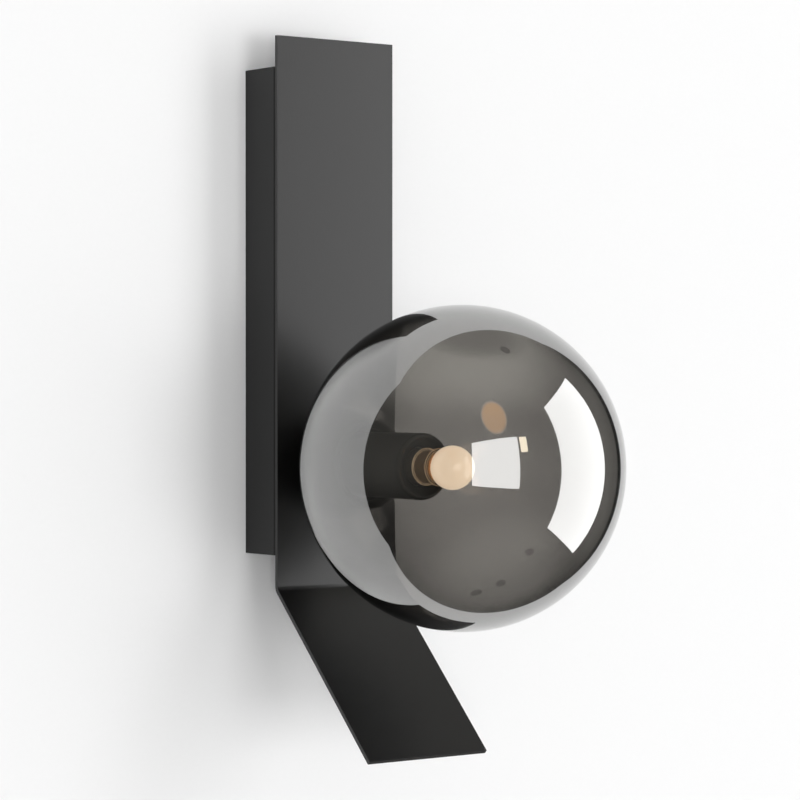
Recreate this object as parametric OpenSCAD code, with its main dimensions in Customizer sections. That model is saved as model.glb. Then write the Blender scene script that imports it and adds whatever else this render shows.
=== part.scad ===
// Globe wall light: a folded steel strip on a shallow wall box, with a smoked glass
// globe screwed on round a push-in capsule lamp. All lengths are in millimetres.
// The origin lies on the wall, midway between the two screw slots. +X is to the
// right for someone facing the light, -Y points into the room and +Z is up.

/* [Front plate] */
// Width of the strip, and of the box behind it
plate_w = 68.5; // [55:0.5:100]
// Thickness of the strip
plate_t = 2; // [1.5:0.1:4]
// Length of the turned-out tail below the fold
tail_l = 106; // [60:0.5:160]
// Angle by which the tail turns out from the wall
tail_angle = 45; // [20:1:60]
// Inside radius of the fold
fold_r = 3; // [1:0.5:8]

/* [Back box] */
// Height of the box
box_h = 234.5; // [220:0.5:245]
// Depth of the box, from the wall to the strip's back
box_d = 25.5; // [24:0.5:40]
// Sheet thickness of the box
box_wall = 1.2; // [0.8:0.1:2]
// Inside radius of the box's folded upright edges
box_edge_in = 0.3; // [0.2:0.1:1]
// Height of the box's lower edge above the strip's fold
box_above_fold = 16; // [5:0.5:25]
// How far the strip stands above the box
strip_above_box = 14.8; // [5:0.1:40]

/* [Wall bracket] */
// Width of the bracket strap
bracket_w = 30; // [26:1:50]
// Thickness of the bracket strap
bracket_t = 2; // [1.5:0.1:3]
// How far its end tabs reach from the wall
tab_reach = 14; // [12:0.5:20]
// Distance between the two screw slots
slot_spacing = 120; // [80:1:160]
// Width of each screw slot
slot_w = 5.2; // [4:0.1:6]
// Length of each screw slot
slot_l = 14; // [8:0.5:20]
// Hole for the supply cable
cable_hole_d = 18; // [12:0.5:22]

/* [Fasteners] */
// Thread diameter of the box screws, plate studs and earth stud
m4_d = 4; // [3:0.1:5]
// Head diameter of the box screws
box_screw_head_d = 8; // [7:0.1:9]
// Head height of the box screws
box_screw_head_h = 2.4; // [1.5:0.1:3]
// Length of a box screw under its head
box_screw_l = 8; // [6:0.5:12]
// Distance of the box screws from the wall
box_screw_out = 8; // [6:0.5:9]
// Slot width of every slotted screw head
driver_slot_w = 0.9; // [0.6:0.1:1.2]
// Slot depth of every slotted screw head
driver_slot_h = 1; // [0.6:0.1:1.2]
// Length of a plate stud behind the strip
stud_l = 9; // [8:0.5:12]
// Distance of the studs from the strip's side edges
stud_side_in = 10.25; // [8:0.25:14]
// Distance of the studs from the box's upper and lower edges
stud_end_in = 22.25; // [20:0.25:30]
// Diameter of the stud washers
washer_d = 9; // [8:0.1:10]
// Thickness of every washer
washer_t = 0.8; // [0.5:0.1:1.2]
// Distance across the flats of the small nuts
m4_nut_af = 7; // [6.5:0.1:8]
// Thickness of the small nuts
m4_nut_t = 3.2; // [2.5:0.1:4]

/* [Lamp place] */
// Height of the lamp's axis above the strip's fold
lamp_above_fold = 59.8; // [45:0.1:90]
// Distance of the holder's front edge from the strip
holder_out = 71; // [62:0.5:90]

/* [Globe] */
// Outside diameter of the glass globe
globe_d = 150; // [120:1:180]
// Thickness of the glass
globe_wall = 2.5; // [1.8:0.1:3.5]
// Radius of the hollow where the neck meets the ball
neck_hollow_r = 3; // [2:0.5:6]
// Gap between the holder tube and the neck's bore
mouth_gap = 1.75; // [1.2:0.05:3]
// Length of the neck that sits in the collar
neck_seat_l = 11.5; // [8:0.5:16]
// Neck left clear between the collar and the hollow
neck_show = 0.5; // [0.3:0.1:3]

/* [Globe collar and boss] */
// Wall of the collar round the neck
collar_wall = 1.7; // [1.2:0.1:3]
// Length of the boss's threaded spigot
spigot_l = 8; // [6:0.5:12]
// Wall of the threaded spigot
spigot_wall = 3; // [2.4:0.1:3.4]
// Thickness of the boss's flange
boss_floor = 3; // [2:0.5:5]
// Ledge in the collar between its thread and the neck
collar_ledge = 1.5; // [1:0.1:3]
// Thickness of the silicone ring
seal_t = 0.9; // [0.6:0.1:2]
// Width of the silicone ring
seal_w = 2.2; // [1.5:0.1:2.3]

/* [Lamp holder] */
// Wall of the holder tube
tube_wall = 1.5; // [1:0.1:2]
// Floor of the holder tube
tube_floor = 2.5; // [1.5:0.1:4]
// Width of the front ring, from its opening to the tube's outside
ring_w = 6.35; // [5:0.05:9]
// Height of the front ring outside the tube
ring_h = 3.5; // [2.5:0.1:5]
// Length of the front ring's spigot in the tube
ring_spigot_l = 3.5; // [2:0.1:5]
// Radius of the ring's outer lip
ring_lip_r = 1.4; // [0.8:0.1:2]
// Flat land on the ring between its lip and its dish
ring_land = 0.6; // [0.3:0.1:1.5]
// Depth of the dish in the ring's face
ring_dish = 3; // [1.5:0.1:3.2]
// Thread diameter of the nipple
nipple_d = 10; // [9:0.5:11]
// Bore of the nipple
nipple_bore = 7.6; // [7.2:0.1:8]
// Nipple thread left showing past each nut
nipple_show = 1.5; // [1:0.1:3]
// Distance across the flats of the nipple nuts
nipple_nut_af = 14; // [13:0.5:17]
// Thickness of the nipple nuts
nipple_nut_t = 3.2; // [2.5:0.1:4]
// Diameter of the nipple washer
nipple_washer_d = 18; // [16:0.5:22]
// Flange diameter of the plastic bush
bush_flange_d = 11; // [10:0.1:13]
// Flange thickness of the plastic bush
bush_flange_t = 1; // [0.8:0.1:2]
// Length of the bush inside the nipple
bush_l = 5; // [3:0.5:8]
// Wall of the bush inside the nipple
bush_wall = 0.7; // [0.5:0.1:0.9]

/* [Socket] */
// Length of the socket body
socket_l = 22; // [20:0.5:26]
// Gap between the socket and the holder tube
socket_gap = 2.25; // [1.5:0.05:3]
// Distance between the two lamp pins
pin_spacing = 9; // [8:0.1:10]
// Diameter of the pin wells
pin_well_d = 4.2; // [4:0.1:5]
// Depth of the pin wells
pin_well_l = 16; // [14:0.5:18]
// Diameter of the wire holes in the socket's back
wire_hole_d = 2.4; // [2.2:0.1:3]
// Thickness of the contact leaves
contact_t = 0.3; // [0.2:0.05:0.4]
// Width of the contact leaves
contact_w = 2.4; // [2:0.1:3]
// Length of the contact leaves
contact_l = 8; // [6:0.5:10]
// Thickness of the strap
strap_t = 1.2; // [0.8:0.1:1.6]
// Width of the strap's legs
strap_leg_w = 6; // [5:0.5:7]
// Width of the strap's base
strap_base_w = 16; // [14:0.5:20]
// Length of the strap's turned-in ends
strap_end_l = 8; // [7:0.5:9]
// Wall left between a socket screw's head and the socket's side
socket_edge = 1; // [0.5:0.1:1.5]
// Thread diameter of the socket screws
m3_d = 3; // [2.5:0.1:3.2]
// Head diameter of the socket screws
m3_head_d = 5.4; // [5:0.1:6]
// Head height of the socket screws
m3_head_h = 1.8; // [1.4:0.1:2.2]

/* [Lamp] */
// Diameter of the lamp's base and sleeve
lamp_neck_d = 17.2; // [15:0.1:19]
// Distance of the lamp base's front edge from the holder's front edge
base_show = 2; // [1:0.5:5]
// Length of the clear sleeve up to the dish
sleeve_l = 10; // [6:0.5:14]
// Wall of the sleeve
sleeve_wall = 0.9; // [0.6:0.1:1.2]
// Height of the raised rim at each end of the sleeve
sleeve_rim_h = 0.8; // [0.5:0.1:1.5]
// How far the rims stand proud of the sleeve
sleeve_rim_out = 0.2; // [0.1:0.05:0.3]
// How far the frosted ball stands proud of the lamp's neck
ball_proud = 1.7; // [1:0.1:4]
// Wall of the frosted ball
ball_wall = 0.8; // [0.5:0.1:1.2]
// Diameter of the stem
stem_d = 5; // [4:0.1:7]
// Thickness of the dish on the stem
dish_t = 1.2; // [0.8:0.1:2]
// Length of the light strips past the dish
strip_l = 9; // [6:0.5:10]
// Width of a light strip
strip_w = 1.6; // [1:0.1:2]
// Thickness of a light strip
strip_t = 0.5; // [0.3:0.1:0.8]
// Wire diameter of the pins
pin_wire_d = 0.8; // [0.6:0.1:1]
// Width of a pin loop between its wires' centres
pin_loop_w = 2.2; // [1.8:0.1:2.4]
// Length of a pin loop below the base
pin_l = 13; // [10:0.5:14]
// Length of the pin wires inside the base
pin_root_l = 3; // [2:0.5:5]

/* [Wiring] */
// Length of the connector along its barrels
block_l = 17; // [15:0.5:22]
// Depth of the connector from the bosses to its crown
block_h = 13; // [11.5:0.5:14]
// Depth of the connector's low strip between the poles
block_low_h = 6; // [4:0.5:8]
// Gap between two raised poles
pole_gap = 2; // [1:0.1:2.4]
// Diameter of the connector's fixing screws
block_screw_d = 2.5; // [2:0.1:3]
// Head diameter of the connector's fixing screws
block_head_d = 4.2; // [3.8:0.1:5]
// Head height of the connector's fixing screws
block_head_h = 1.6; // [1.2:0.1:2]
// Wall between a barrel's tunnel and the screw beside it
block_web = 0.35; // [0.3:0.05:1]
// Distance of the connector's middle below the slots' middle
block_below = 25; // [22:0.5:35]
// Height of the box's bosses for the connector
boss_h = 3; // [2:0.5:4]
// Diameter of those bosses
boss_d = 6; // [5:0.5:7]
// Outside diameter of a barrel
barrel_d = 4.6; // [4.2:0.1:5.2]
// Bore of a barrel
barrel_bore = 3; // [2.6:0.1:3.4]
// Depth of the barrels' axis below the connector's crown
barrel_deep = 5.4; // [5:0.1:6]
// How far the barrels stop short of the connector's ends
barrel_short = 1; // [0.5:0.1:2]
// Diameter of a clamp screw
clamp_d = 2.6; // [2.2:0.1:3]
// Distance of a clamp screw from the connector's end
clamp_in = 4.2; // [3.5:0.1:5]
// How far a clamp screw's head lies below the crown
clamp_sunk = 0.6; // [0.3:0.1:1]
// Diameter of an insulated wire
wire_d = 1.8; // [1.6:0.1:2]
// Gap between the two wires in the nipple
wire_pair_gap = 0.4; // [0.2:0.1:0.5]
// How far a wire reaches into its barrel
wire_in = 5; // [4:0.5:6]
// Distance of the earth stud from the box's left side
earth_side_in = 14.25; // [10.25:0.25:16.25]
// Distance of the earth stud below the connector's middle
earth_below = 26; // [24:0.5:30]
// Length of the earth stud
earth_stud_l = 9; // [7:0.5:10]
// Diameter of the lug's ring
lug_d = 8; // [7:0.1:9]
// Thickness of the lug
lug_t = 0.8; // [0.6:0.1:1]
// Length of the lug's crimp barrel
crimp_l = 5; // [4:0.5:6]
// Wall of the lug's crimp barrel
crimp_wall = 0.5; // [0.4:0.1:0.7]

/* [Fits] */
// Clearance between the box and the bracket tabs
tab_fit = 0.2; // [0.1:0.05:0.5]
// Clearance on each side of a screw or stud in a plain hole
hole_fit = 0.25; // [0.1:0.05:0.5]
// Clearance on each side of a screw or stud in its thread
thread_fit = 0.1; // [0.05:0.01:0.15]
// Clearance between the boss's thread and the collar
collar_fit = 0.3; // [0.2:0.05:0.4]
// Clearance of parts that slide into each other
slide_fit = 0.25; // [0.1:0.05:0.4]
// Cement layer between the neck and the collar
cement_gap = 0.3; // [0.2:0.05:0.5]
// Clearance on each flat side of the silicone ring
seal_fit = 0.1; // [0.05:0.01:0.2]
// Clearance between a pin and its contact leaves
contact_fit = 0.1; // [0.05:0.01:0.2]
// Clearance between the lamp neck and the front ring
neck_fit = 0.6; // [0.4:0.1:1]
// Gap between the lamp base and the socket's face
base_gap = 0.5; // [0.2:0.1:1]
// Gap between the end of the boss's spigot and the collar's ledge
spigot_end_gap = 1; // [0.5:0.1:2]
// Gap left where a piece ends on another one
end_fit = 0.2; // [0.1:0.05:0.3]

/* [Hidden] */
$fn = 96;
// Cuts run this far past the surface that they open
over = 1;
// Sides and steps of the swept wires
wire_sides = 10;
wire_steps = 4;
// Flats that draw the fold of the strip
fold_steps = 16;
// Light strips round the stem
strip_count = 4;

black = [0.08, 0.08, 0.08];
steel = [0.62, 0.63, 0.65];
brass = [0.78, 0.62, 0.32];
nylon = [0.9, 0.9, 0.86];
smoke = [0.3, 0.3, 0.3, 0.5];
warm = [0.95, 0.86, 0.72];

// Heights in the row frame
fold_z = -box_h / 2 - box_above_fold;
strip_top = box_h / 2 + strip_above_box;
lamp_z = fold_z + lamp_above_fold;
plate_back = box_d;
plate_front = box_d + plate_t;

// The strip's studs, from the middle of the box
stud_x = plate_w / 2 - stud_side_in;
stud_z = box_h / 2 - stud_end_in;

// The holder tube is sized round the lamp
ring_opening = lamp_neck_d + 2 * sleeve_rim_out + 2 * neck_fit;
tube_d = ring_opening + 2 * ring_w;
tube_bore = tube_d - 2 * tube_wall;
socket_d = tube_bore - 2 * socket_gap;
socket_screw_at = (socket_d - m3_head_d) / 2 - hole_fit - socket_edge;

// Sizes of the globe's fit round the holder tube
neck_bore_d = tube_d + 2 * mouth_gap;
neck_d = neck_bore_d + 2 * globe_wall;
spigot_bore = tube_d + 2 * slide_fit;
spigot_d = spigot_bore + 2 * spigot_wall;
collar_thread_d = spigot_d + 2 * collar_fit;
pocket_d = neck_d + 2 * cement_gap;
collar_d = max(pocket_d, collar_thread_d) + 2 * collar_wall;

// Places along the lamp's axis, measured from the strip's front face
seal_back = boss_floor + seal_fit;
collar_back = seal_back + seal_t + seal_fit;
ledge_back = boss_floor + spigot_l + spigot_end_gap;
ledge_front = ledge_back + collar_ledge;
neck_back = ledge_front + end_fit;
collar_front = neck_back + neck_seat_l;
hollow_q = collar_front + neck_show;
ball_reach = globe_d / 2 + neck_hollow_r;
hollow_x = neck_d / 2 + neck_hollow_r;
globe_q = hollow_q + sqrt(ball_reach * ball_reach - hollow_x * hollow_x);

tube_floor_q = boss_floor;
strap_q = tube_floor_q + tube_floor;
holder_nut_q = strap_q + strap_t;
nipple_front_q = holder_nut_q + nipple_nut_t + nipple_show;
ring_q = holder_out - ring_h;
socket_front_q = ring_q - ring_spigot_l - socket_gap;
socket_back_q = socket_front_q - socket_l;
contact_q = socket_front_q - pin_well_l;

base_back_q = socket_front_q + base_gap;
base_front_q = holder_out + base_show;
dish_q = base_front_q + sleeve_l;
ball_d = lamp_neck_d + 2 * ball_proud;
ball_seat = sqrt(ball_d * ball_d - lamp_neck_d * lamp_neck_d) / 2;
sleeve_front_q = dish_q + dish_t + lamp_neck_d / 2 - ball_seat;
ball_q = sleeve_front_q + ball_seat;

// Places in the box, measured from the wall
box_front_in = box_d - box_wall;
nipple_nut_y = box_front_in - washer_t;
nipple_back = nipple_nut_y - nipple_nut_t - nipple_show;
block_foot = box_front_in - boss_h;
block_crown = block_foot - block_h;
barrel_y = block_crown + barrel_deep;
block_z = -block_below;
earth_left = plate_w / 2 - earth_side_in;
earth_z = block_z - earth_below;
crimp_at = m4_nut_af / 2 / cos(30) + slide_fit;
pole_spacing = barrel_d + block_head_d + 2 * (slide_fit + hole_fit + block_web);
pole_w = pole_spacing - pole_gap;

// Turns a piece that is drawn upright onto the lamp's axis
module on_lamp_axis(q = 0)
{
    translate([0, -plate_front - q, lamp_z])
        rotate([90, 0, 0])
            children();
}

// Points a piece that is drawn upright from the strip towards the wall
module towards_wall(x, out, z)
{
    translate([x, -out, z])
        rotate([-90, 0, 0])
            children();
}

// A tube or disc with a bore, standing on its end
module sleeve_shape(outer, bore, length)
{
    difference()
    {
        cylinder(h = length, d = outer);
        translate([0, 0, -over])
            cylinder(h = length + 2 * over, d = bore);
    }
}

// A hexagonal nut standing on its face
module hex_nut(across, bore, thick)
{
    difference()
    {
        cylinder(h = thick, d = across / cos(30), $fn = 6);
        translate([0, 0, -over])
            cylinder(h = thick + 2 * over, d = bore);
    }
}

// A slotted screw, its head's underside at the base and its thread pointing down
module slotted_screw(thread, length, head, head_h, slot_depth)
{
    difference()
    {
        union()
        {
            translate([0, 0, -length])
                cylinder(h = length, d = thread);
            cylinder(h = head_h, d = head);
        }
        translate([-head, -driver_slot_w / 2, head_h - slot_depth])
            cube([2 * head, driver_slot_w, slot_depth + over]);
    }
}

// Catmull-Rom curve through a list of points
function curve_point(p0, p1, p2, p3, u) =
    0.5 * (2 * p1 + (p2 - p0) * u + (2 * p0 - 5 * p1 + 4 * p2 - p3) * u * u
    + (3 * p1 - p0 - 3 * p2 + p3) * u * u * u);

function curve(points, steps) =
    let (last = len(points) - 1)
    concat(
        [
            for (i = [0 : last - 1])
                for (k = [0 : steps - 1])
                    curve_point(
                        points[max(i - 1, 0)], points[i], points[i + 1],
                        points[min(i + 2, last)], k / steps
                    )
        ],
        [points[last]]
    );

function unit(v) = v / norm(v);

function heading(path, i) =
    unit(path[min(i + 1, len(path) - 1)] - path[max(i - 1, 0)]);

// A round wire along a smooth path; side is a direction that the path never takes
module wire(points, side)
{
    path = curve(points, wire_steps);
    count = len(path);
    rings = [
        for (i = [0 : count - 1])
            let (along = heading(path, i))
            let (across = unit(cross(along, side)))
            let (other = cross(along, across))
            for (k = [0 : wire_sides - 1])
                let (turn = 360 * k / wire_sides)
                path[i] + (cos(turn) * across + sin(turn) * other) * wire_d / 2
    ];
    walls = [
        for (i = [0 : count - 2])
            for (k = [0 : wire_sides - 1])
                let (next = (k + 1) % wire_sides)
                [
                    i * wire_sides + k, (i + 1) * wire_sides + k,
                    (i + 1) * wire_sides + next, i * wire_sides + next
                ]
    ];
    near_end = [for (k = [0 : wire_sides - 1]) k];
    far_end = [for (k = [0 : wire_sides - 1]) count * wire_sides - 1 - k];
    polyhedron(points = rings, faces = concat(walls, [near_end, far_end]));
}

// Steel strap on the wall, with slots for the wall screws and a threaded tab at each end
module wall_bracket()
{
    tab_z = box_h / 2 - box_wall - tab_fit;
    color(steel)
    difference()
    {
        union()
        {
            translate([-bracket_w / 2, -bracket_t, -tab_z])
                cube([bracket_w, bracket_t, 2 * tab_z]);
            for (side = [-1, 1])
                translate([-bracket_w / 2, -tab_reach, side * (tab_z - bracket_t / 2) - bracket_t / 2])
                    cube([bracket_w, tab_reach, bracket_t]);
        }
        for (side = [-1, 1])
        {
            translate([0, over, side * slot_spacing / 2])
                rotate([90, 0, 0])
                    slot_cut(bracket_t + 2 * over);
            translate([0, -box_screw_out, side * tab_z])
                cylinder(h = 2 * bracket_t + 2 * over, d = m4_d + 2 * thread_fit, center = true);
        }
        translate([0, over, 0])
            rotate([90, 0, 0])
                cylinder(h = bracket_t + 2 * over, d = cable_hole_d);
    }
}

// A slot that runs up and down
module slot_cut(depth)
{
    run = slot_l - slot_w;
    for (side = [-1, 1])
        translate([0, side * run / 2, 0])
            cylinder(h = depth, d = slot_w);
    translate([-slot_w / 2, -run / 2, 0])
        cube([slot_w, run, depth]);
}

// Outline of the box seen from above, round at its two front corners; it runs past the wall's plane
module box_outline(inset, edge_r, past)
{
    w = plate_w - 2 * inset;
    front = box_d - inset;
    translate([-w / 2, -front + edge_r])
        square([w, front - edge_r + past]);
    translate([-w / 2 + edge_r, -front])
        square([w - 2 * edge_r, front]);
    for (side = [-1, 1])
        translate([side * (w / 2 - edge_r), -front + edge_r])
            circle(r = edge_r);
}

// Folded steel box, open towards the wall
module back_box()
{
    color(black)
    difference()
    {
        union()
        {
            difference()
            {
                translate([0, 0, -box_h / 2])
                    linear_extrude(box_h)
                        box_outline(0, box_wall + box_edge_in, 0);
                translate([0, 0, box_wall - box_h / 2])
                    linear_extrude(box_h - 2 * box_wall)
                        box_outline(box_wall, box_edge_in, over);
            }
            for (side = [-1, 1])
                towards_wall(side * pole_spacing / 2, box_front_in + box_wall / 2, block_z)
                    cylinder(h = boss_h + box_wall / 2, d = boss_d);
        }
        for (side = [-1, 1])
        {
            towards_wall(side * pole_spacing / 2, box_front_in, block_z)
                cylinder(h = boss_h + over, d = block_screw_d + 2 * thread_fit);
            translate([0, -box_screw_out, side * box_h / 2])
                cylinder(h = 2 * box_wall + 2 * over, d = m4_d + 2 * hole_fit, center = true);
        }
        at_studs(box_d + over)
            cylinder(h = box_wall + 2 * over, d = m4_d + 2 * hole_fit);
        towards_wall(0, box_d + over, lamp_z)
            cylinder(h = box_wall + 2 * over, d = nipple_d + 2 * hole_fit);
    }
}

// Screws that hold the box on the bracket's tabs, from above and below
module box_screws()
{
    color(black)
    for (turn = [0, 180])
        translate([0, -box_screw_out, 0])
            rotate([0, turn, 0])
                translate([0, 0, box_h / 2])
                    slotted_screw(m4_d, box_screw_l, box_screw_head_d, box_screw_head_h, driver_slot_h);
}

// Points on an arc of the fold, from the upright part round to the tail
function fold_arc(radius, centre) = [
    for (k = [0 : fold_steps])
        let (turn = -tail_angle * k / fold_steps)
        centre + radius * [cos(turn), sin(turn)]
];

// Side view of the folded strip: the first axis runs towards the wall, the second up
module strip_profile()
{
    tangent = fold_r * tan(tail_angle / 2);
    centre = [-plate_front - fold_r, fold_z + tangent];
    down = [-sin(tail_angle), -cos(tail_angle)];
    behind = [cos(tail_angle), -sin(tail_angle)];
    foot = [-plate_front, fold_z] + tail_l * down;
    back_arc = fold_arc(fold_r + plate_t, centre);
    front_arc = fold_arc(fold_r, centre);
    polygon(concat(
        [[-plate_front, strip_top], [-plate_back, strip_top]],
        back_arc,
        [foot + plate_t * behind, foot],
        [for (k = [0 : fold_steps]) front_arc[fold_steps - k]]
    ));
}

// Folded steel strip that carries the lamp
module front_plate()
{
    color(black)
    difference()
    {
        translate([-plate_w / 2, 0, 0])
            rotate([90, 0, 90])
                linear_extrude(plate_w)
                    strip_profile();
        towards_wall(0, plate_front + over, lamp_z)
            cylinder(h = plate_t + 2 * over, d = nipple_d + 2 * hole_fit);
    }
}

// The four places where the strip is bolted to the box
module at_studs(out)
{
    for (side = [-1, 1])
        for (end = [-1, 1])
            towards_wall(side * stud_x, out, end * stud_z)
                children();
}

module plate_studs()
{
    color(steel)
    at_studs(plate_back)
        cylinder(h = stud_l, d = m4_d);
}

module stud_washers()
{
    color(steel)
    at_studs(box_front_in)
        sleeve_shape(washer_d, m4_d + 2 * hole_fit, washer_t);
}

module stud_nuts()
{
    color(steel)
    at_studs(box_front_in - washer_t)
        hex_nut(m4_nut_af, m4_d + 2 * thread_fit, m4_nut_t);
}

// Weld stud in the box for the earth wire
module earth_stud()
{
    color(brass)
    towards_wall(-earth_left, box_front_in, earth_z)
        cylinder(h = earth_stud_l, d = m4_d);
}

// Ring lug with its crimp barrel, on the earth stud
module earth_lug()
{
    crimp_d = wire_d + 2 * slide_fit + 2 * crimp_wall;
    color(brass)
    towards_wall(-earth_left, box_front_in, earth_z)
    {
        difference()
        {
            union()
            {
                cylinder(h = lug_t, d = lug_d);
                translate([0, -crimp_d / 2, 0])
                    cube([crimp_at + crimp_l, crimp_d, lug_t]);
            }
            translate([0, 0, -over])
                cylinder(h = lug_t + 2 * over, d = m4_d + 2 * hole_fit);
        }
        translate([crimp_at, 0, lug_t + crimp_d / 2 - crimp_wall])
            rotate([0, 90, 0])
                sleeve_shape(crimp_d, crimp_d - 2 * crimp_wall, crimp_l);
    }
}

module earth_nut()
{
    color(brass)
    towards_wall(-earth_left, box_front_in - lug_t, earth_z)
        hex_nut(m4_nut_af, m4_d + 2 * thread_fit, m4_nut_t);
}

// The connector's poles: earth, neutral and live
module at_poles()
{
    for (pole = [-1, 0, 1])
        translate([pole * pole_spacing, 0, 0])
            children();
}

// The two clamp screws of each pole
module at_clamps()
{
    at_poles()
        for (end = [-1, 1])
            translate([0, 0, end * (block_l / 2 - clamp_in)])
                children();
}

// Three-pole connector housing, its barrels upright and its screws facing the wall
module terminal_block()
{
    width = 2 * pole_spacing + pole_w;
    color(nylon)
    translate([0, 0, block_z])
    difference()
    {
        union()
        {
            translate([-width / 2, -block_foot, -block_l / 2])
                cube([width, block_low_h, block_l]);
            at_poles()
                translate([-pole_w / 2, -block_foot, -block_l / 2])
                    cube([pole_w, block_h, block_l]);
        }
        at_poles()
            translate([0, -barrel_y, -block_l / 2 - over])
                cylinder(h = block_l + 2 * over, d = barrel_d + 2 * slide_fit);
        at_clamps()
            translate([0, -barrel_y, 0])
                rotate([-90, 0, 0])
                    cylinder(h = barrel_deep + over, d = clamp_d + 2 * slide_fit);
        for (side = [-1, 1])
            translate([side * pole_spacing / 2, -block_foot - over, 0])
                rotate([-90, 0, 0])
                {
                    cylinder(h = block_h, d = block_screw_d + 2 * hole_fit);
                    translate([0, 0, over + block_low_h])
                        cylinder(h = block_h, d = block_head_d + 2 * hole_fit);
                }
    }
}

module terminal_barrels()
{
    length = block_l - 2 * barrel_short;
    color(brass)
    translate([0, 0, block_z])
    difference()
    {
        at_poles()
            translate([0, -barrel_y, -length / 2])
                sleeve_shape(barrel_d, barrel_bore, length);
        at_clamps()
            translate([0, -barrel_y, 0])
                rotate([-90, 0, 0])
                    cylinder(h = barrel_d, d = clamp_d + 2 * thread_fit);
    }
}

module terminal_screws()
{
    tip = wire_d / 2 + thread_fit;
    length = barrel_deep - clamp_sunk - tip;
    color(steel)
    translate([0, 0, block_z])
    at_clamps()
        translate([0, tip - barrel_y, 0])
            rotate([-90, 0, 0])
                difference()
                {
                    cylinder(h = length, d = clamp_d);
                    translate([-clamp_d, -driver_slot_w / 2, length - driver_slot_h])
                        cube([2 * clamp_d, driver_slot_w, driver_slot_h + over]);
                }
}

// Screws through the connector into the box's bosses
module block_screws()
{
    length = block_low_h + boss_h - end_fit;
    color(steel)
    for (side = [-1, 1])
        towards_wall(side * pole_spacing / 2, block_foot - block_low_h, block_z)
            slotted_screw(block_screw_d, length, block_head_d, block_head_h, driver_slot_h);
}

// Route of a lamp wire from its pole down to the nipple and on to its contact
function lamp_wire(pole_x, pair_x, pin_x) =
    let (block_end = block_z - block_l / 2)
    let (turn_z = lamp_z + nipple_back - barrel_y)
    let (barrel_z = block_end + barrel_short + wire_in)
    [
        [pole_x, -barrel_y, barrel_z],
        [pole_x, -barrel_y, block_end],
        [pole_x, -barrel_y, block_end - wire_d],
        [(pole_x + pair_x) / 2, -barrel_y, (block_end + turn_z) / 2],
        [pair_x, -barrel_y, turn_z + wire_d],
        [pair_x, -nipple_back + wire_d, lamp_z],
        [pair_x, -plate_back, lamp_z],
        [pair_x, -plate_front - nipple_front_q, lamp_z],
        [pin_x, -plate_front - socket_back_q + socket_gap, lamp_z],
        [pin_x, -plate_front - contact_q + end_fit, lamp_z]
    ];

pair_x = (wire_d + wire_pair_gap) / 2;

module live_wire()
{
    color("saddlebrown")
    wire(lamp_wire(pole_spacing, pair_x, pin_spacing / 2), [1, 0, 0]);
}

module neutral_wire()
{
    color("royalblue")
    wire(lamp_wire(0, -pair_x, -pin_spacing / 2), [1, 0, 0]);
}

// Earth wire from its pole to the crimp of the lug
module earth_wire()
{
    block_end = block_z - block_l / 2;
    crimp_y = box_front_in - lug_t - wire_d / 2 - slide_fit;
    crimp_x = -earth_left + crimp_at;
    color("yellowgreen")
    wire(
        [
            [-pole_spacing, -barrel_y, block_end + barrel_short + wire_in],
            [-pole_spacing, -barrel_y, block_end],
            [-pole_spacing, -barrel_y, block_end - wire_d],
            [crimp_x + 2 * crimp_l, -(barrel_y + crimp_y) / 2, (block_end + earth_z) / 2],
            [crimp_x + crimp_l + wire_d, -crimp_y, earth_z],
            [crimp_x + crimp_l, -crimp_y, earth_z],
            [crimp_x + end_fit, -crimp_y, earth_z]
        ],
        [0, 1, 0]
    );
}

// Hollow threaded tube that clamps holder, boss, strip and box together
module nipple()
{
    color(brass)
    on_lamp_axis(nipple_back - plate_front)
        sleeve_shape(nipple_d, nipple_bore, nipple_front_q + plate_front - nipple_back);
}

module nipple_nuts()
{
    color(brass)
    {
        towards_wall(0, nipple_nut_y, lamp_z)
            hex_nut(nipple_nut_af, nipple_d + 2 * thread_fit, nipple_nut_t);
        on_lamp_axis(holder_nut_q)
            hex_nut(nipple_nut_af, nipple_d + 2 * thread_fit, nipple_nut_t);
    }
}

module nipple_washer()
{
    color(steel)
    towards_wall(0, box_front_in, lamp_z)
        sleeve_shape(nipple_washer_d, nipple_d + 2 * hole_fit, washer_t);
}

// Plastic bush that keeps the wires off the nipple's edge
module nipple_bush()
{
    plug_d = nipple_bore - 2 * thread_fit;
    color(nylon)
    towards_wall(0, nipple_back, lamp_z)
    difference()
    {
        union()
        {
            cylinder(h = bush_flange_t, d = bush_flange_d);
            translate([0, 0, -bush_l])
                cylinder(h = bush_l, d = plug_d);
        }
        translate([0, 0, -bush_l - over])
            cylinder(h = bush_l + bush_flange_t + 2 * over, d = plug_d - 2 * bush_wall);
    }
}

// Turned flange with the spigot that the globe screws onto
module globe_boss()
{
    color(black)
    on_lamp_axis()
    difference()
    {
        union()
        {
            cylinder(h = boss_floor, d = collar_d);
            cylinder(h = boss_floor + spigot_l, d = spigot_d);
        }
        translate([0, 0, boss_floor])
            cylinder(h = spigot_l + over, d = spigot_bore);
        translate([0, 0, -over])
            cylinder(h = boss_floor + 2 * over, d = nipple_d + 2 * hole_fit);
    }
}

// Black tube round the socket
module holder_tube()
{
    color(black)
    on_lamp_axis(tube_floor_q)
    difference()
    {
        cylinder(h = ring_q - tube_floor_q, d = tube_d);
        translate([0, 0, tube_floor])
            cylinder(h = ring_q, d = tube_bore);
        translate([0, 0, -over])
            cylinder(h = tube_floor + 2 * over, d = nipple_d + 2 * hole_fit);
    }
}

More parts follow.
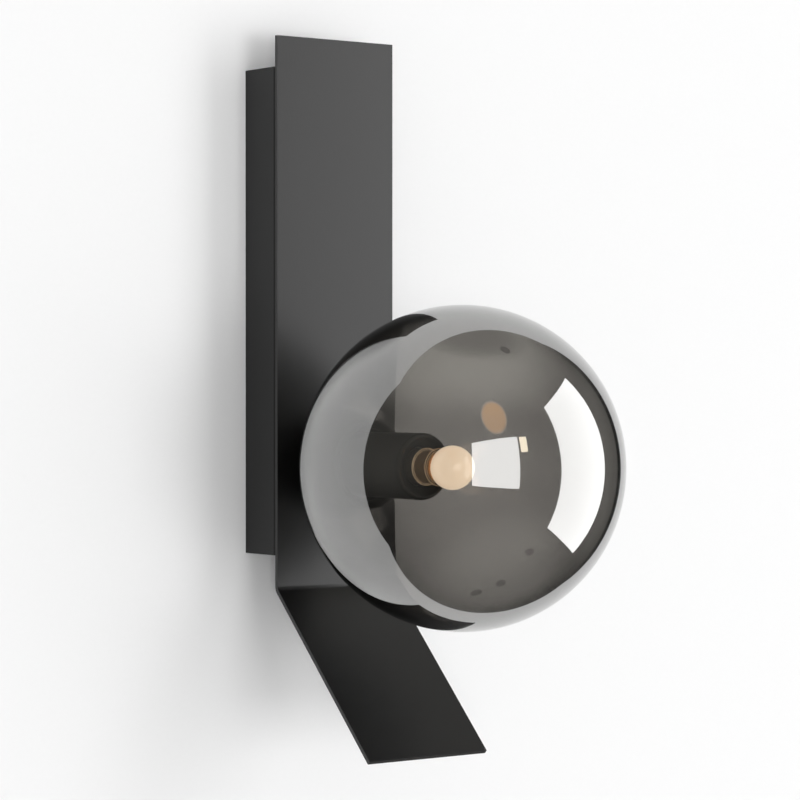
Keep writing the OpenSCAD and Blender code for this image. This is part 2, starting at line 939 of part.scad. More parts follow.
// Dished ring in the mouth of the tube, with a round outer lip
module front_ring()
{
    dish_d = tube_d - 2 * ring_lip_r - 2 * ring_land;
    color(black)
    on_lamp_axis(ring_q)
    difference()
    {
        union()
        {
            cylinder(h = ring_h - ring_lip_r, d = tube_d);
            cylinder(h = ring_h, d = tube_d - 2 * ring_lip_r);
            rotate_extrude()
                translate([tube_d / 2 - ring_lip_r, ring_h - ring_lip_r])
                    circle(r = ring_lip_r);
            translate([0, 0, -ring_spigot_l])
                cylinder(h = ring_spigot_l + over, d = tube_bore - 2 * slide_fit);
        }
        translate([0, 0, -ring_spigot_l - over])
            cylinder(h = ring_spigot_l + ring_h + 2 * over, d = ring_opening);
        translate([0, 0, ring_h - ring_dish])
            cylinder(h = ring_dish, d1 = ring_opening, d2 = dish_d);
        translate([0, 0, ring_h])
            cylinder(h = over, d = dish_d);
    }
}

// Steel strap under the holder's nut, with two legs that carry the socket
module socket_strap()
{
    reach = tube_bore / 2 - 2 * slide_fit;
    leg_q = socket_back_q - strap_q;
    leg_out = sqrt(reach * reach - strap_leg_w * strap_leg_w / 4);
    color(steel)
    on_lamp_axis(strap_q)
    difference()
    {
        union()
        {
            intersection()
            {
                cylinder(h = strap_t, r = reach);
                translate([-strap_base_w / 2, -leg_out, 0])
                    cube([strap_base_w, 2 * leg_out, strap_t]);
            }
            for (turn = [0, 180])
                rotate([0, 0, turn])
                {
                    translate([-strap_leg_w / 2, leg_out - strap_t, 0])
                        cube([strap_leg_w, strap_t, leg_q]);
                    translate([-strap_leg_w / 2, leg_out - strap_end_l, leg_q - strap_t])
                        cube([strap_leg_w, strap_end_l, strap_t]);
                }
        }
        translate([0, 0, -over])
            cylinder(h = strap_t + 2 * over, d = nipple_d + 2 * hole_fit);
        for (turn = [0, 180])
            rotate([0, 0, turn])
                translate([0, socket_screw_at, leg_q - strap_t - over])
                    cylinder(h = strap_t + 2 * over, d = m3_d + 2 * thread_fit);
    }
}

// Socket with its two pin wells, wire holes and screw holes
module socket_body()
{
    color(nylon)
    on_lamp_axis(socket_back_q)
    difference()
    {
        cylinder(h = socket_l, d = socket_d);
        for (side = [-1, 1])
        {
            translate([side * pin_spacing / 2, 0, socket_l - pin_well_l])
                cylinder(h = pin_well_l + over, d = pin_well_d);
            translate([side * pin_spacing / 2, 0, -over])
                cylinder(h = socket_l, d = wire_hole_d);
            translate([0, side * socket_screw_at, -over])
                cylinder(h = socket_l + 2 * over, d = m3_d + 2 * hole_fit);
            translate([0, side * socket_screw_at, socket_l - m3_head_h])
                cylinder(h = m3_head_h + over, d = m3_head_d + hole_fit);
        }
    }
}

// Spring contacts: a disc with a leaf on each flat side of the pin
module socket_contacts()
{
    color(brass)
    on_lamp_axis(contact_q)
    for (side = [-1, 1])
        translate([side * pin_spacing / 2, 0, 0])
        {
            cylinder(h = contact_t, d = pin_well_d - 2 * thread_fit);
            for (face = [-1, 1])
                translate([
                    -contact_w / 2,
                    face * (pin_wire_d / 2 + contact_fit + contact_t / 2) - contact_t / 2,
                    0
                ])
                    cube([contact_w, contact_t, contact_l]);
        }
}

module socket_screws()
{
    color(steel)
    on_lamp_axis(socket_front_q - m3_head_h)
    for (turn = [0, 180])
        rotate([0, 0, turn])
            translate([0, socket_screw_at, 0])
                slotted_screw(
                    m3_d, socket_l - m3_head_h + strap_t, m3_head_d, m3_head_h, driver_slot_h
                );
}

// Silicone ring between the boss's flange and the collar
module seal_ring()
{
    color("dimgray")
    on_lamp_axis(seal_back)
        sleeve_shape(collar_d, collar_d - 2 * seal_w, seal_t);
}

// Black collar cemented to the globe's neck; it screws onto the boss
module globe_collar()
{
    color(black)
    on_lamp_axis()
    difference()
    {
        translate([0, 0, collar_back])
            cylinder(h = collar_front - collar_back, d = collar_d);
        translate([0, 0, collar_back - over])
            cylinder(h = ledge_back - collar_back + over, d = collar_thread_d);
        translate([0, 0, ledge_back - over])
            cylinder(h = collar_ledge + 2 * over, d = neck_bore_d);
        translate([0, 0, ledge_front])
            cylinder(h = collar_front, d = pocket_d);
    }
}

// Half outline of the globe and its neck; inset draws its inner wall
module globe_outline(inset, end)
{
    ball_r = globe_d / 2 - inset;
    intersection()
    {
        union()
        {
            translate([0, globe_q])
                circle(r = ball_r);
            translate([0, end])
                square([neck_d / 2 - inset, globe_q - end]);
            difference()
            {
                polygon([[0, hollow_q], [hollow_x, hollow_q], [0, globe_q]]);
                translate([hollow_x, hollow_q])
                    circle(r = neck_hollow_r + inset);
            }
        }
        translate([0, end])
            square([globe_d, globe_q + globe_d - end]);
    }
}

// Smoked glass globe with a short neck
module glass_globe()
{
    color(smoke)
    on_lamp_axis()
    rotate_extrude()
    difference()
    {
        globe_outline(0, neck_back);
        globe_outline(globe_wall, neck_back - over);
    }
}

// Two loops of wire that push into the socket
module bulb_pins()
{
    straight = pin_l - pin_loop_w / 2 - pin_wire_d / 2;
    color(steel)
    on_lamp_axis(base_back_q)
    for (side = [-1, 1])
        translate([side * pin_spacing / 2, 0, 0])
        {
            for (leg = [-1, 1])
                translate([leg * pin_loop_w / 2, 0, -straight])
                    cylinder(h = straight + pin_root_l, d = pin_wire_d);
            translate([0, 0, -straight])
                rotate([90, 180, 0])
                    rotate_extrude(angle = 180)
                        translate([pin_loop_w / 2, 0])
                            circle(d = pin_wire_d);
        }
}

// Base of the lamp
module bulb_base()
{
    color("dimgray")
    on_lamp_axis(base_back_q)
    difference()
    {
        cylinder(h = base_front_q - base_back_q, d = lamp_neck_d);
        for (side = [-1, 1])
            for (leg = [-1, 1])
                translate([side * pin_spacing / 2 + leg * pin_loop_w / 2, 0, -over])
                    cylinder(h = pin_root_l + over, d = pin_wire_d);
    }
}

// Clear sleeve with a raised rim at the base and at the dish
module bulb_sleeve()
{
    length = sleeve_front_q - base_front_q;
    color([0.8, 0.6, 0.4, 0.5])
    on_lamp_axis(base_front_q)
    difference()
    {
        union()
        {
            cylinder(h = length, d = lamp_neck_d);
            for (rim = [0, sleeve_l])
                translate([0, 0, rim])
                    cylinder(h = sleeve_rim_h, d = lamp_neck_d + 2 * sleeve_rim_out);
        }
        translate([0, 0, -over])
            cylinder(h = length + 2 * over, d = lamp_neck_d - 2 * sleeve_wall);
    }
}

// Stem with a dish that closes the sleeve, and a post inside the ball
module led_carrier()
{
    dish_d = lamp_neck_d - 2 * sleeve_wall - 2 * slide_fit;
    color(brass)
    on_lamp_axis(base_front_q)
    {
        cylinder(h = sleeve_l + dish_t + strip_l, d = stem_d);
        translate([0, 0, sleeve_l])
            cylinder(h = dish_t, d = dish_d);
    }
}

// Light strips round the post
module led_strips()
{
    color("gold")
    on_lamp_axis(dish_q + dish_t)
    for (k = [0 : strip_count - 1])
        rotate([0, 0, 360 * k / strip_count])
            translate([stem_d / 2, -strip_w / 2, 0])
                cube([strip_t, strip_w, strip_l]);
}

// Frosted ball, open where it meets the sleeve
module bulb_globe()
{
    color(warm)
    on_lamp_axis(ball_q)
    difference()
    {
        sphere(d = ball_d);
        sphere(d = ball_d - 2 * ball_wall);
        translate([0, 0, -ball_d])
            cylinder(h = ball_d - ball_seat, d = ball_d);
    }
}

wall_bracket();
back_box();
box_screws();
front_plate();
plate_studs();
stud_washers();
stud_nuts();
earth_stud();
earth_lug();
earth_nut();
terminal_block();
terminal_barrels();
terminal_screws();
block_screws();
live_wire();
neutral_wire();
earth_wire();
nipple();
nipple_nuts();
nipple_washer();
nipple_bush();
globe_boss();
holder_tube();
front_ring();
socket_strap();
socket_body();
socket_contacts();
socket_screws();
seal_ring();
globe_collar();
glass_globe();
bulb_pins();
bulb_base();
bulb_sleeve();
led_carrier();
led_strips();
bulb_globe();
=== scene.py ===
# %% [markdown]
# A wall light in a photo studio. The light is a folded black steel strip on a shallow wall box,
# with a smoked glass globe round a small capsule lamp. The imported CAD model is the frame: it fixes
# every size and place, in metres, and this script gives each piece its finish, rebuilds the globe,
# which needs a finer surface than the CAD gives, and sets up the wall, the softboxes and the camera.

# %% Load the frame
import math

import bmesh
import bpy
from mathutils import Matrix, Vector


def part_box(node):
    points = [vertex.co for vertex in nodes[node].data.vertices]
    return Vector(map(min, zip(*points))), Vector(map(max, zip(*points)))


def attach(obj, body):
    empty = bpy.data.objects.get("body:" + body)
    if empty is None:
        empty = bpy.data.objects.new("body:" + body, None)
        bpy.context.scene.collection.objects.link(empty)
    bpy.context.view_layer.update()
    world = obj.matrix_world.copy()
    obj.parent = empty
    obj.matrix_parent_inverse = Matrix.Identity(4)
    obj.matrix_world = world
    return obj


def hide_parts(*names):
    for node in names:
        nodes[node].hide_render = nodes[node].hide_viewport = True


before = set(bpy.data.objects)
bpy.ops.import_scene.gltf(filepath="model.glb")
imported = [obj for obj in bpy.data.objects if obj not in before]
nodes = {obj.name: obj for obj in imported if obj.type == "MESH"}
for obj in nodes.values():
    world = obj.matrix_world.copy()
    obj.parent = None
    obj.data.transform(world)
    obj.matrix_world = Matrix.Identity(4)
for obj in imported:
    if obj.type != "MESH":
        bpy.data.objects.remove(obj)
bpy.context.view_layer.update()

# %% [markdown]
# Most places in the scene follow from a few sizes of the frame: the lamp's axis, which runs out of
# the wall towards the room, the globe's centre on it, and the strip's front face. Reading them from
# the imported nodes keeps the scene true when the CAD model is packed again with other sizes.

# %% Measure the frame
MM = 0.001


def span(node, axis):
    """Lowest and highest coordinate of a CAD node along one axis."""
    low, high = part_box(node)
    return low[axis], high[axis]


def middle(node, axis):
    """Middle of a CAD node along one axis."""
    return sum(span(node, axis)) / 2


def size(node, axis):
    """Extent of a CAD node along one axis."""
    low, high = span(node, axis)
    return high - low


X, Y, Z = range(3)
globe_radius = size("glass_globe", X) / 2
lamp_z = middle("glass_globe", Z)
globe_y = span("glass_globe", Y)[0] + globe_radius
strip_y = span("globe_boss", Y)[1]
globe_centre = Vector((0, globe_y, lamp_z))
print("globe radius %.4f, centre" % globe_radius, [round(value, 4) for value in globe_centre])

# %% [markdown]
# Shader maths reads best as arithmetic. This small class wraps an output socket, so that
# `1 - mask * 0.5` adds the Math nodes that it says. Every other node comes from its `node` method:
# the settings go in first, because some of them change which sockets the node has.

# %% Shader helper


class Signal:
    """A socket of a node tree, with Python's operators on values."""

    def __init__(self, tree, socket=None):
        self.tree = tree
        self.socket = socket

    def node(self, kind, settings=None, values=None, out=0):
        """Adds a node and returns one of its outputs."""
        made = self.tree.nodes.new(kind)
        for name, setting in (settings or {}).items():
            setattr(made, name, setting)
        for name, value in (values or {}).items():
            plug = made.inputs[name]
            if isinstance(value, Signal):
                self.tree.links.new(value.socket, plug)
            else:
                plug.default_value = value
        return Signal(self.tree, made.outputs[out] if made.outputs else None)

    def math(self, operation, *values):
        """One Math node on these values."""
        return self.node("ShaderNodeMath", {"operation": operation}, dict(enumerate(values)))

    def __add__(self, other):
        return self.math("ADD", self, other)

    def __radd__(self, other):
        return self.math("ADD", other, self)

    def __sub__(self, other):
        return self.math("SUBTRACT", self, other)

    def __rsub__(self, other):
        return self.math("SUBTRACT", other, self)

    def __mul__(self, other):
        return self.math("MULTIPLY", self, other)

    def __rmul__(self, other):
        return self.math("MULTIPLY", other, self)

    def __pow__(self, other):
        return self.math("POWER", self, other)

    def __gt__(self, other):
        return self.math("GREATER_THAN", self, other)


# %% [markdown]
# Every finish starts the same way: an empty material, the Object coordinates, which are metres in the
# frame and so keep a grain at its real scale, and a noise that varies it. The Principled shader gets
# an output, plain numbers on its own sockets, and signals only where the surface varies.

# %% Material helpers


def rgba(red, green, blue):
    """A colour with full alpha."""
    return (red, green, blue, 1.0)


def new_material(name):
    """An empty material, with a starting point for its nodes."""
    material = bpy.data.materials.new(name)
    material.use_nodes = True
    material.node_tree.nodes.clear()
    return material, Signal(material.node_tree)


def place_on_object(start):
    """The Object coordinates."""
    return start.node("ShaderNodeTexCoord", out="Object")


def noise(start, per_metre, detail, stretch=(1, 1, 1)):
    """A soft noise from 0 to 1, with that many grains to the metre."""
    scaled = start.node(
        "ShaderNodeMapping", {"vector_type": "POINT"},
        {"Vector": place_on_object(start), "Scale": stretch},
    )
    return start.node(
        "ShaderNodeTexNoise", values={"Vector": scaled, "Scale": per_metre, "Detail": detail}
    )


def blend_colours(start, factor, low, high):
    """A colour between two, by a factor from 0 to 1."""
    return start.node(
        "ShaderNodeMix", {"data_type": "RGBA"}, {0: factor, 6: low, 7: high}, out=2
    )


def bump(start, height, depth):
    """A normal that follows a height from 0 to 1, that many metres deep."""
    return start.node("ShaderNodeBump", values={"Height": height, "Distance": depth})


def light_path(start, kind):
    """What the Light Path node says of the ray that sees the surface."""
    return start.node("ShaderNodeLightPath", out=kind)


def soft_step(start, value, low, high):
    """A smooth step, 0 at the first of two values and 1 at the second."""
    return start.node(
        "ShaderNodeMapRange", {"interpolation_type": "SMOOTHSTEP"},
        {"Value": value, "From Min": low, "From Max": high},
    )


def principled(start, values):
    """A Principled shader, wired to the material's output."""
    shader = start.node("ShaderNodeBsdfPrincipled", values=values)
    start.node("ShaderNodeOutputMaterial", values={"Surface": shader})
    return shader


def dress(material, *names):
    """Gives CAD nodes a material."""
    for name in names:
        mesh = nodes[name].data
        mesh.materials.clear()
        mesh.materials.append(material)
    print(material.name, "on", ", ".join(names))


# %% [markdown]
# The strip, the box and the lamp holder are powder coated: paint fused from a fine black powder.
# It is matt, never quite smooth, and a shade lighter where it catches light at a slant. A noise
# finer than a millimetre gives its orange peel, and a broad one keeps the large faces from being flat.
# The box's coat is the strip's with a lower specular level, a painted shade that makes the box's sides
# darker.

# %% Powder coat

LIGHTER_BY = 1.25


def powder_coat(name, colour, roughness, gloss, peel_depth):
    """Matt paint with a fine orange peel."""
    material, start = new_material(name)
    peel = noise(start, 1800.0, 2.0)
    cloud = noise(start, 14.0, 3.0)
    lighter = tuple(LIGHTER_BY * value for value in colour[:3]) + (1.0,)
    principled(start, {
        "Base Color": blend_colours(start, cloud, colour, lighter),
        "Roughness": roughness - 0.05 + 0.1 * peel,
        "Specular IOR Level": gloss,
        "Normal": bump(start, peel, peel_depth),
    })
    return material


DEEP_BLACK = rgba(0.003, 0.003, 0.003)
steel_coat = powder_coat("black_steel", DEEP_BLACK, 0.31, 0.52, 0.03 * MM)
# The box's copy of the coat reflects less, as painted shade on the box's sides.
shaded_box_coat = powder_coat("black_box_steel", DEEP_BLACK, 0.33, 0.34, 0.03 * MM)
holder_coat = powder_coat("black_metal", rgba(0.016, 0.016, 0.014), 0.5, 0.4, 0.02 * MM)
screw_coat = powder_coat("black_screw", rgba(0.03, 0.03, 0.03), 0.35, 0.5, 0.01 * MM)
dress(steel_coat, "front_plate")
dress(shaded_box_coat, "back_box")
dress(holder_coat, "globe_boss", "holder_tube", "front_ring", "globe_collar")
dress(screw_coat, "box_screws")

# %% [markdown]
# The bracket, the nuts and the other hardware are zinc plated steel, which is bright but cloudy. The
# brass pieces are turned, so they carry fine rings round their axis, which a stretched noise suggests.

# %% Plated and turned metal


def plated(name, dull, bright, roughness, per_metre, stretch=(1, 1, 1)):
    """Bare or plated metal whose colour and gloss drift."""
    material, start = new_material(name)
    cloud = noise(start, per_metre, 4.0, stretch)
    scratch = noise(start, 900.0, 2.0, (1, 12, 1))
    principled(start, {
        "Base Color": blend_colours(start, cloud, dull, bright),
        "Metallic": 1.0,
        "Roughness": roughness + 0.18 * (cloud - 0.5) + 0.1 * scratch,
        "Normal": bump(start, scratch, 0.01 * MM),
    })
    return material


zinc = plated("zinc_steel", rgba(0.5, 0.51, 0.53), rgba(0.72, 0.73, 0.74), 0.32, 90.0)
brass = plated("brass", rgba(0.62, 0.42, 0.16), rgba(0.82, 0.62, 0.3), 0.24, 160.0, (1, 6, 1))
gold = plated("gold_metal", rgba(0.2, 0.11, 0.05), rgba(0.55, 0.36, 0.18), 0.4, 700.0)
dress(
    zinc, "wall_bracket", "plate_studs", "stud_washers", "stud_nuts", "terminal_screws",
    "block_screws", "nipple_washer", "socket_strap", "socket_screws", "bulb_pins",
)
dress(
    brass, "earth_stud", "earth_lug", "earth_nut", "terminal_barrels", "nipple", "nipple_nuts",
    "socket_contacts",
)
dress(gold, "led_carrier")

# %% [markdown]
# The connector, the bush, the wires and the silicone ring are plastics. Each is one colour in the
# mass, so only a faint mottling and the gloss tell it from flat paint. The socket is unglazed
# ceramic: chalky, with a fine grit.

# %% Plastics, rubber and ceramic

MOTTLING = 0.12


def moulded(name, colour, roughness, grit_depth, per_metre=700.0):
    """A moulded plastic, a rubber or a ceramic."""
    material, start = new_material(name)
    grit = noise(start, per_metre, 3.0)
    cloud = noise(start, 40.0, 2.0)
    darker = tuple((1 - MOTTLING) * value for value in colour[:3]) + (1.0,)
    principled(start, {
        "Base Color": blend_colours(start, cloud, darker, colour),
        "Roughness": roughness + 0.12 * (grit - 0.5),
        "Normal": bump(start, grit, grit_depth),
    })
    return material


dress(moulded("white_nylon", rgba(0.78, 0.78, 0.74), 0.45, 0.01 * MM), "terminal_block", "nipple_bush")
dress(moulded("brown_sheath", rgba(0.16, 0.07, 0.03), 0.4, 0.01 * MM), "live_wire")
dress(moulded("blue_sheath", rgba(0.04, 0.13, 0.45), 0.4, 0.01 * MM), "neutral_wire")
dress(moulded("green_sheath", rgba(0.2, 0.42, 0.05), 0.4, 0.01 * MM), "earth_wire")
dress(moulded("socket_ceramic", rgba(0.74, 0.71, 0.64), 0.75, 0.03 * MM, 1200.0), "socket_body")
dress(moulded("silicone", rgba(0.05, 0.05, 0.05), 0.6, 0.015 * MM), "seal_ring")
dress(moulded("lamp_base", rgba(0.11, 0.085, 0.06), 0.35, 0.01 * MM), "bulb_base")
dress(moulded("phosphor", rgba(0.85, 0.6, 0.2), 0.7, 0.02 * MM, 2500.0), "led_strips")

# %% [markdown]
# The capsule lamp ends in a frosted ball of warm glass. Light scatters in it, so it looks evenly
# pale, with a soft glow and a small highlight on its skin. The sleeve behind it is clear glass with a
# warm tint, so the stem and its gold dish show through. Its two raised rims are more opaque and carry
# a painted glow, which stands in for the lamp's light that they catch.

# %% Lamp glass


def frosted_glass(name):
    """Warm opal glass."""
    material, start = new_material(name)
    frost = noise(start, 2600.0, 2.0)
    cloud = noise(start, 120.0, 2.0)
    tone = blend_colours(start, cloud, rgba(0.9, 0.68, 0.48), rgba(0.95, 0.79, 0.6))
    principled(start, {
        "Base Color": tone,
        "Roughness": 0.3 + 0.1 * frost,
        "Coat Weight": 1.0 - 0.2 * frost,
        "Coat IOR": 2.4,
        "Coat Roughness": 0.06,
        "Emission Color": tone,
        "Emission Strength": 1.66,
        "Normal": bump(start, frost, 0.01 * MM),
    })
    return material


def sleeve_glass(name, tint, rims):
    """Thin tinted glass, seen through without bending, whose raised rims carry a painted glow that
    stands in for the lamp's light they catch.
    """
    material, start = new_material(name)
    smear = noise(start, 60.0, 2.0)
    along = start.node("ShaderNodeSeparateXYZ", values={"Vector": place_on_object(start)}, out="Y")
    on_rim = 0.0
    for low, high in rims:
        on_rim = on_rim + (along > low) * (1 - (along > high))
    principled(start, {
        "Base Color": tint,
        "Roughness": 0.05 + 0.05 * smear,
        "Alpha": 0.2 + 0.1 * smear + 0.6 * on_rim,
        # The emission on the rims is a painted glow, standing in for the lamp's light that the rims
        # catch.
        "Emission Color": blend_colours(start, on_rim, rgba(0, 0, 0), rgba(1.0, 0.8, 0.55)),
        "Emission Strength": 0.5,
    })
    return material


dress(frosted_glass("frosted_glass"), "bulb_globe")
sleeve_back = span("bulb_sleeve", Y)[1]
RIM_LENGTH = 0.45 * MM
SLEEVE_LENGTH = 10 * MM
rim_places = [(sleeve_back - away - RIM_LENGTH, sleeve_back - away) for away in (0, SLEEVE_LENGTH)]
dress(sleeve_glass("amber_glass", rgba(0.5, 0.3, 0.12), rim_places), "bulb_sleeve")

# %% [markdown]
# The globe decides the look, so it gets the finest mesh. The CAD globe's facets would break up its
# mirror image. It could be a sphere with a tube let into it, but the blown glass runs over into its
# neck in one hollow curve, so its half outline is drawn instead: neck, hollow, ball. The same outline,
# set in by the glass's thickness, gives the inner wall.

# %% Globe profile

GLASS_WALL = 2.5 * MM
HOLLOW_RADIUS = 3 * MM
NECK_RADIUS = 20 * MM
ARC_STEPS = 96
HOLLOW_STEPS = 8
neck_back_y = span("glass_globe", Y)[1]


def globe_profile(inset):
    """Half outline of the globe from the neck's end to its far pole, as (radius, distance) pairs.

    The distance runs from the globe's centre towards the wall. An inset gives the inner wall."""
    ball = globe_radius - inset
    neck = NECK_RADIUS - inset
    ring = HOLLOW_RADIUS + inset
    hollow_x = NECK_RADIUS + HOLLOW_RADIUS
    reach = math.sqrt((globe_radius + HOLLOW_RADIUS) ** 2 - hollow_x ** 2)
    touch = math.atan2(hollow_x, reach)
    points = [(neck, neck_back_y - globe_y)]
    for step in range(HOLLOW_STEPS + 1):
        turn = (math.pi / 2 - touch) * step / HOLLOW_STEPS
        points.append((hollow_x - ring * math.cos(turn), reach - ring * math.sin(turn)))
    for step in range(1, ARC_STEPS + 1):
        turn = touch + (math.pi - touch) * step / ARC_STEPS
        points.append((ball * math.sin(turn), ball * math.cos(turn)))
    return points


outer = globe_profile(0)
inner = globe_profile(GLASS_WALL)
print("globe profile:", len(outer), "points outside,", len(inner), "inside")

# %% [markdown]
# Real glass has two surfaces, and both bend and mirror what passes. So the shell is closed: both half
# outlines are joined at the neck's end and spun once round the lamp's axis. The full spin merges its
# last step with its first, the poles are merged afterwards, and the normals are set outwards.

# %% Mesh helper


def add_mesh(name, mesh):
    """Turns a bmesh into an object of the scene."""
    data = bpy.data.meshes.new(name)
    mesh.to_mesh(data)
    mesh.free()
    made = bpy.data.objects.new(name, data)
    bpy.context.scene.collection.objects.link(made)
    return made


# %% Spin the globe

MERGE_DISTANCE = 0.001 * MM
SPIN_STEPS = 192


def spin_shell(name, outside, inside, steps):
    """A closed glass shell, spun about the lamp's axis from its outer and inner half outlines."""
    mesh = bmesh.new()
    chains = [
        [mesh.verts.new((radius, globe_y + away, lamp_z)) for radius, away in points]
        for points in (outside, inside)
    ]
    edges = [mesh.edges.new(pair) for chain in chains for pair in zip(chain, chain[1:])]
    edges.append(mesh.edges.new((chains[0][0], chains[1][0])))
    bmesh.ops.spin(
        mesh, geom=chains[0] + chains[1] + edges, cent=globe_centre, axis=(0, 1, 0),
        angle=2 * math.pi, steps=steps, use_merge=True, use_normal_flip=False,
    )
    bmesh.ops.remove_doubles(mesh, verts=mesh.verts, dist=MERGE_DISTANCE)
    bmesh.ops.recalc_face_normals(mesh, faces=mesh.faces)
    for face in mesh.faces:
        face.smooth = True
    open_edges = sum(edge.is_boundary for edge in mesh.edges)
    made = add_mesh(name, mesh)
    print(name, "has", len(made.data.polygons), "faces and", open_edges, "open edges")
    return made


globe = spin_shell("smoked_globe", outer, inner, SPIN_STEPS)

# %% [markdown]
# The glass is smoked by a thin metal film on its outside. The film throws back about a third of the
# room, more towards the rim, and dims what passes it, once on the near side and once on the far one.
# So the outer surface is partly metallic glass and the inner one plain glass, and a slanting way
# through the wall is darker. Light that scatters from the wall would need many bounces to get through
# a closed shell, so for such rays the glass is simply part open and otherwise black. In the gloss on
# the strip the glass is drawn mostly black as well. Both are painted shade: they darken the strip and
# the wall beside the globe.

# %% Smoked glass


FILM_FACING, FILM_RIM, FILM_CURVE = 0.36, 0.8, 1.5
FILM_METAL = rgba(0.5, 0.5, 0.495)
GENTLE_SLOPE, GENTLE_MOST = 1.5, 0.6
STEEP_SLOPE, STEEP_START = 2.2, 0.62
SCATTER_STOPPED = 0.74
GLOSS_DIMMED = 0.8
CLEAR_GLASS = rgba(0.98, 0.92, 0.85)
DARK_GLASS = rgba(0.02, 0.02, 0.02)
BLACK = rgba(0.0, 0.0, 0.0)


def smoked_glass(name):
    """Glass with a mirror film on its outer surface and a plain inner surface."""
    material, start = new_material(name)
    from_centre = start.node(
        "ShaderNodeVectorMath", {"operation": "DISTANCE"},
        {0: place_on_object(start), 1: globe_centre}, out="Value",
    )
    outside = from_centre > globe_radius - GLASS_WALL / 2
    facing = start.node("ShaderNodeLayerWeight", values={"Blend": 0.5}, out="Facing")
    cloud = noise(start, 6.0, 1.0)
    scattered = light_path(start, "Is Diffuse Ray")
    behind_glass = light_path(start, "Transmission Depth") > 0.5
    in_gloss = (light_path(start, "Glossy Depth") > 0.5) * (1 - behind_glass)
    film = FILM_FACING + (FILM_RIM - FILM_FACING) * facing ** FILM_CURVE
    leaving = start.node("ShaderNodeNewGeometry", out="Backfacing")
    gentle_slant = start.math("MINIMUM", GENTLE_SLOPE * facing, GENTLE_MOST)
    steep_slant = STEEP_SLOPE * start.math("MAXIMUM", facing - STEEP_START, 0.0)
    slant = start.math("MINIMUM", gentle_slant + steep_slant, 1.0)
    smoke = blend_colours(start, slant, CLEAR_GLASS, DARK_GLASS)
    dimmed = blend_colours(start, (1 - film) ** 2, BLACK, FILM_METAL)
    coated = blend_colours(start, leaving, FILM_METAL, dimmed)
    tint = blend_colours(start, outside, smoke, coated)
    principled(start, {
        # Painted shade: for scattered rays, and mostly for gloss from outside the globe, the colour
        # goes to black.
        "Base Color": blend_colours(
            start, start.math("MAXIMUM", scattered, GLOSS_DIMMED * in_gloss), tint, BLACK
        ),
        "Alpha": 1 - SCATTER_STOPPED * scattered,
        "Metallic": outside * film * (1 - leaving),
        "Roughness": 0.004 * cloud,
        "IOR": 1.45,
        "Specular Tint": rgba(0.87, 0.87, 0.87),
        "Transmission Weight": 1.0,
    })
    return material


globe.data.materials.append(smoked_glass("smoked_glass"))
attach(globe, "globe")
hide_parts("glass_globe")

# %% [markdown]
# The light hangs on a white wall, so the wall is the backdrop. It ends about half a metre away on the
# lamp's left, as a studio flat does, because the globe shows its edge. From behind it turns
# transparent, so the back of the light can be looked at, and it has a hole where the box covers it,
# through which a lamp lights the inside of the box for those views.

# %% Wall

WALL_LEFT, WALL_RIGHT = -0.47, 0.6
WALL_LOW, WALL_HIGH = -0.545, 0.54
HOLE_INSET = 0.6 * MM


def wall_with_hole(name, hole):
    """An upright sheet on the wall plane, facing the room, with a rectangular hole in it."""
    mesh = bmesh.new()
    outside = [
        (WALL_LEFT, WALL_LOW), (WALL_RIGHT, WALL_LOW), (WALL_RIGHT, WALL_HIGH), (WALL_LEFT, WALL_HIGH)
    ]
    (low_x, low_z), (high_x, high_z) = hole
    inside = [(low_x, low_z), (high_x, low_z), (high_x, high_z), (low_x, high_z)]
    far = [mesh.verts.new((x, 0, z)) for x, z in outside]
    near = [mesh.verts.new((x, 0, z)) for x, z in inside]
    for here in range(4):
        there = (here + 1) % 4
        mesh.faces.new((far[here], far[there], near[there], near[here]))
    print(name, "has", len(mesh.faces), "sheets round its hole")
    return add_mesh(name, mesh)


def wall_paint(name):
    """White paint with a faint roll, which is clear when it is seen from behind."""
    material, start = new_material(name)
    stipple = noise(start, 500.0, 3.0)
    paint = start.node("ShaderNodeBsdfDiffuse", values={
        "Color": blend_colours(start, stipple, rgba(0.93, 0.93, 0.93), rgba(0.95, 0.95, 0.95)),
    })
    clear = start.node("ShaderNodeBsdfTransparent")
    behind = start.node("ShaderNodeNewGeometry", out="Backfacing")
    shader = start.node("ShaderNodeMixShader", values={0: behind, 1: paint, 2: clear})
    start.node("ShaderNodeOutputMaterial", values={"Surface": shader})
    return material


box_low, box_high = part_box("back_box")
backdrop = wall_with_hole("wall", (
    (box_low[X] + HOLE_INSET, box_low[Z] + HOLE_INSET),
    (box_high[X] - HOLE_INSET, box_high[Z] - HOLE_INSET),
))
backdrop.data.materials.append(wall_paint("wall_paint"))

# %% [markdown]
# A glossy globe is lit by what it mirrors, and its highlights show where the softboxes stood: a tall
# one on the right and a smaller one in front, parallel to the wall. Matt paint is lit by the same
# softboxes, but only as one sum, and the shadow on the wall tells where most of that light came from.
# So each softbox here is split: a mirrored part that only reflections see, and a lamp that they don't.

# %% Directions in the room


def direction(azimuth, elevation):
    """The unit vector from the globe towards a place in the room; azimuth 0 is straight out."""
    across = math.radians(azimuth)
    rise = math.radians(elevation)
    return Vector((
        math.sin(across) * math.cos(rise), -math.cos(across) * math.cos(rise), math.sin(rise)
    ))


